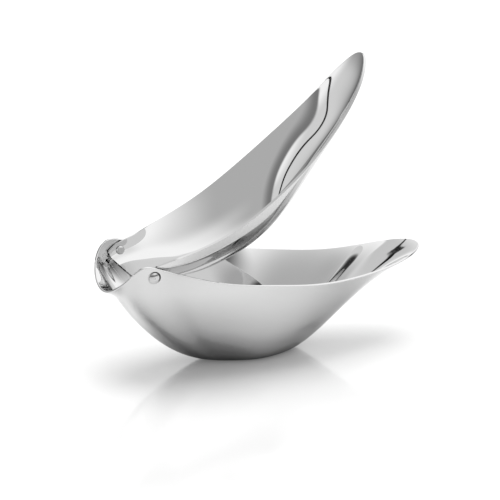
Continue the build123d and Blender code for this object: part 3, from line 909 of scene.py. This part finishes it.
rails = lever_rails()
acrosses = np.linspace(0, 1, LEVER_CELLS[1] + 1)
ends = np.array([lever_end(rails, across) for across in acrosses])
grid = blank_grid(LEVER_CELLS[0], acrosses, ends)
bore = PIN_RADIUS + PIN_CLEARANCE
blank = blank_mesh("lever_blank", rails, grid, LEVER_PIN_SPOT, bore, LEVER_SEAT_RADIUS, flipped=True)
upper = shell_piece("lever_shell", blank, rails, sheet_steel)
press_seat(upper, LEVER_SEAT_RADIUS, LEVER_FACE, outside=True)
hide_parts("upper_shell")
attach(upper, "press_lever")

for name, side in (("left", -1), ("right", 1)):
    pin = turned_piece(f"{name}_rivet", rounded(pin_profile(), PIN_EDGE), side, pin_steel)
    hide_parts(f"{name}_hinge_pin")
    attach(pin, "bowl")
    washer = turned_piece(f"{name}_washer", rounded(washer_profile(), WASHER_EDGE), side, washer_steel)
    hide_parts(f"{name}_spacer_washer")
    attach(washer, "bowl")

# ==== floor
TABLE_SIZE = 8.0
TABLE_ROUGHNESS = 0.12
TABLE_IOR = 1.8
TABLE_WHITE = 0.50
TABLE_WHITE_MIRRORED = 0.55  # as the steel sees it: a brighter copy of the white that only the steel's reflections see
NEAR_FOOT_PAINTED_SHADOW = 0.36  # share of that white that a painted shadow leaves beside the foot
PAINTED_SHADOW_REACH = (0.9, 3.7)  # where that painted shadow starts and ends, in half lengths and half widths of the foot
PAINTED_SHADOW_SHIFT = (-7.0 * MM, 0.0, 0.0)  # the painted shadow lies more toward the hinge end, where the shells overhang
PAINTED_GLOW = 0.11  # painted light: a glow that only the camera sees, which lifts the table's shadows


def white_gloss():
    """Glossy white lacquer; the steel sees it with a painted shadow beside the foot, and the camera with a
    painted glow.
    """
    material = bpy.data.materials.new("white_gloss")
    material.use_nodes = True
    make = Nodes(material.node_tree)
    seen = make.add("ShaderNodeLightPath").outputs["Is Camera Ray"]
    place = make.add("ShaderNodeTexCoord").outputs["Object"]
    foot_size = (FOOT_LENGTH / 2 * MM, FOOT_WIDTH / 2 * MM, 1.0)
    # painted shadow round the foot, for every ray but the camera's
    from_foot = make.vector("DIVIDE", make.vector("SUBTRACT", place, PAINTED_SHADOW_SHIFT), foot_size)
    painted_shadow_darkest = TABLE_WHITE_MIRRORED * NEAR_FOOT_PAINTED_SHADOW
    mirrored = make.soft_step(make.measure("LENGTH", from_foot), PAINTED_SHADOW_REACH, painted_shadow_darkest, TABLE_WHITE_MIRRORED)
    mirrored = make.math("MULTIPLY", mirrored, make.math("SUBTRACT", 1.0, seen))
    white = make.math("ADD", mirrored, make.math("MULTIPLY", seen, TABLE_WHITE))
    lacquer = {
        "Base Color": white,
        "Roughness": TABLE_ROUGHNESS,
        "IOR": TABLE_IOR,
        # painted glow for camera rays only
        "Emission Color": (1.0, 1.0, 1.0, 1.0),
        "Emission Strength": make.math("MULTIPLY", seen, PAINTED_GLOW),
    }
    make.fill(material.node_tree.nodes["Principled BSDF"], lacquer)
    return material


bpy.ops.mesh.primitive_plane_add(size=TABLE_SIZE)
table = bpy.context.object
table.name = "table_top"
table.data.materials.append(white_gloss())

# ==== light
# The studio round the table, as the steel mirrors it: a bright open side, a large grey screen behind the
# hinge end whose foot lies dark above a bright strip, a thin black rail across that strip, a small grey card
# with a dark slit behind the handle, and dark ground all round at the height of the table. Heights and
# sideways places are over the distance, as seen by whoever faces that way.
STUDIO_LIGHT = 1.06
OPEN_SIDE = (0.965, 0.232, 0.12)  # the way to the bright side, nearly along +X
OPEN_EDGE = (-0.30, 0.30)  # how far a direction leans that way where the screen gives way to brightness
OPEN_LIGHT = 1.28
SCREEN_LIGHT = 0.575
SCREEN_TOP_LIGHT = 1.0
SCREEN_FADE = (44.0, 97.0)  # degrees above the table over which the screen brightens to the ceiling
SCREEN_FACING = 158.0  # degrees round from +X
FOOT_LIGHT = 0.25
FOOT_EDGE = (0.545, 0.585)  # heights of the foot's sharp lower side
FOOT_FADE = (0.60, 0.82)  # and of its soft upper side
FOOT_REACH = (0.9, 1.9)  # sideways
STRIP_LIGHT = 0.87
STRIP_BRIGHT_LIGHT = 1.25
STRIP_BRIGHTENS = (-0.50, -0.10)  # sideways
STRIP_END_LIGHT = 0.50
STRIP_ENDS = (-1.0, -2.2)  # sideways
STRIP_FADE = (-0.05, 0.40)  # heights between which the strip comes up from the dark ground
STRIP_FADES_TO = 0.22  # share of its light at the lower one
RAIL_HEIGHT = 0.44
RAIL_WIDTH = 0.022
RAIL_LIGHT = 0.01
CARD_FACING = 90.0
CARD_LIGHT = 0.77
CARD_HEIGHT = 0.86
CARD_TALL = 1.05
CARD_WIDTH = 0.62
CARD_SOFTNESS = (0.3, 0.5)  # of its level and upright edges
SLIT_FACING = 84.0
SLIT_BEND = (0.03, 0.619)  # sideways place and height of the bend in the slit
SLIT_SLOPES = (0.08, -0.59)  # before the bend and past it
SLIT_WIDTHS = (0.021, 0.085)
SLIT_OPENS = (0.015, 0.09)  # sideways, from the one width to the other
SLIT_LENGTH = 0.5
SLIT_SOFTNESS = 0.4  # of its ends
EDGE_SOFTNESS = 0.25  # of the rail's and the slit's long edges
GROUND_LIGHT = 0.06
GROUND_FADE = (0.0, 15.0)  # degrees above the table
AHEAD = (0.02, 0.12)  # how far a direction leans ahead before it counts as ahead


def seen_square(make, toward, height, facing):
    """Height and sideways place over distance, for whoever faces that way, and whether it lies ahead."""
    c, s = cos(radians(facing)), sin(radians(facing))
    lean_ahead = make.measure("DOT_PRODUCT", toward, (c, s, 0.0))
    lean_aside = make.measure("DOT_PRODUCT", toward, (-s, c, 0.0))
    distance = make.math("MAXIMUM", lean_ahead, AHEAD[0])
    rise, side = make.math("DIVIDE", height, distance), make.math("DIVIDE", lean_aside, distance)
    return rise, side, make.soft_step(lean_ahead, AHEAD)


def bent_slit(make, rise, side):
    """The dark slit in the card: a line that bends down and opens out past its bend."""
    past = make.math("SUBTRACT", side, SLIT_BEND[0])
    before = make.math("MULTIPLY", make.math("MINIMUM", past, 0.0), SLIT_SLOPES[0])
    beyond = make.math("MULTIPLY", make.math("MAXIMUM", past, 0.0), SLIT_SLOPES[1])
    off_line = make.math("SUBTRACT", make.math("SUBTRACT", rise, before), beyond)
    opening = make.soft_step(side, SLIT_OPENS, *SLIT_WIDTHS)
    widths_off = make.math("DIVIDE", make.math("SUBTRACT", off_line, SLIT_BEND[1]), opening)
    across = make.band(widths_off, 0.0, 1.0, EDGE_SOFTNESS)
    return make.all_of(across, make.band(side, 0.0, SLIT_LENGTH, SLIT_SOFTNESS))


def studio_world():
    """A world whose brightness follows the direction, by soft steps between the values above."""
    world = bpy.data.worlds.new("studio")
    bpy.context.scene.world = world
    world.use_nodes = True
    make = Nodes(world.node_tree)
    toward = make.add("ShaderNodeTexCoord").outputs["Generated"]
    height = make.parts_of(toward)["Z"]
    up = make.math("MULTIPLY", make.math("ARCSINE", height), 180 / pi)
    screen = make.soft_step(up, SCREEN_FADE, SCREEN_LIGHT, SCREEN_TOP_LIGHT)
    open_side = make.soft_step(make.measure("DOT_PRODUCT", toward, OPEN_SIDE), OPEN_EDGE)
    light = make.mixed(open_side, screen, OPEN_LIGHT)

    rise, side, ahead = seen_square(make, toward, height, CARD_FACING)
    card_rows = make.band(rise, CARD_HEIGHT, CARD_TALL, CARD_SOFTNESS[0])
    card_columns = make.band(side, 0.0, CARD_WIDTH, CARD_SOFTNESS[1])
    light = make.mixed(make.all_of(card_rows, card_columns, ahead), light, CARD_LIGHT)

    rise, side, ahead = seen_square(make, toward, height, SCREEN_FACING)
    foot_reach = make.soft_step(make.math("ABSOLUTE", side), FOOT_REACH[::-1])
    foot = make.all_of(ahead, make.soft_step(rise, FOOT_FADE[::-1]), foot_reach)
    light = make.mixed(foot, light, FOOT_LIGHT)
    light = make.mixed(make.soft_step(up, GROUND_FADE[::-1]), light, GROUND_LIGHT)
    strip = make.soft_step(side, STRIP_BRIGHTENS, STRIP_LIGHT, STRIP_BRIGHT_LIGHT)
    strip = make.mixed(make.soft_step(side, STRIP_ENDS), strip, STRIP_END_LIGHT)
    strip = make.math("MULTIPLY", strip, make.soft_step(rise, STRIP_FADE, STRIP_FADES_TO))
    light = make.mixed(make.all_of(ahead, make.soft_step(rise, FOOT_EDGE[::-1])), light, strip)
    rail = make.all_of(ahead, make.band(rise, RAIL_HEIGHT, RAIL_WIDTH, EDGE_SOFTNESS))
    light = make.mixed(rail, light, RAIL_LIGHT)

    rise, side, ahead = seen_square(make, toward, height, SLIT_FACING)
    light = make.mixed(make.all_of(bent_slit(make, rise, side), ahead), light, RAIL_LIGHT)
    background = {"Color": (STUDIO_LIGHT, STUDIO_LIGHT, STUDIO_LIGHT, 1.0), "Strength": light}
    make.fill(world.node_tree.nodes["Background"], background)


studio_world()

SOFT_LAMP = 3.2
SOFT_LAMP_ANGLE = 48.0
SOFT_LAMP_TURN = (-12.0, 6.0, 0.0)  # degrees from straight down
soft_lamp = bpy.data.objects.new("soft_lamp", bpy.data.lights.new("soft_lamp", "SUN"))
soft_lamp.data.energy = SOFT_LAMP
soft_lamp.data.angle = radians(SOFT_LAMP_ANGLE)
soft_lamp.rotation_euler = [radians(angle) for angle in SOFT_LAMP_TURN]
soft_lamp.visible_glossy = False
bpy.context.collection.objects.link(soft_lamp)

# ==== camera
CAMERA_AZIMUTH = -23.86
CAMERA_ELEVATION = 19.58
CAMERA_DISTANCE = 1.5
VIEW_CENTRE = Vector((-7.34, -16.96, 50.92)) * MM
FOCAL_PIXELS = 3735.0
IMAGE_PIXELS = 500.0
SENSOR = 36.0
turn, tilt = radians(CAMERA_AZIMUTH), radians(CAMERA_ELEVATION)
back = Vector((sin(turn) * cos(tilt), -cos(turn) * cos(tilt), sin(tilt)))
camera = bpy.data.objects.new("camera", bpy.data.cameras.new("camera"))
bpy.context.collection.objects.link(camera)
camera.data.sensor_width = SENSOR
camera.data.lens = SENSOR * FOCAL_PIXELS / IMAGE_PIXELS
camera.location = VIEW_CENTRE + back * CAMERA_DISTANCE
camera.rotation_mode = "QUATERNION"
camera.rotation_quaternion = (-back).to_track_quat("-Z", "Y")
bpy.context.scene.camera = camera
bpy.context.scene.view_settings.view_transform = "Standard"
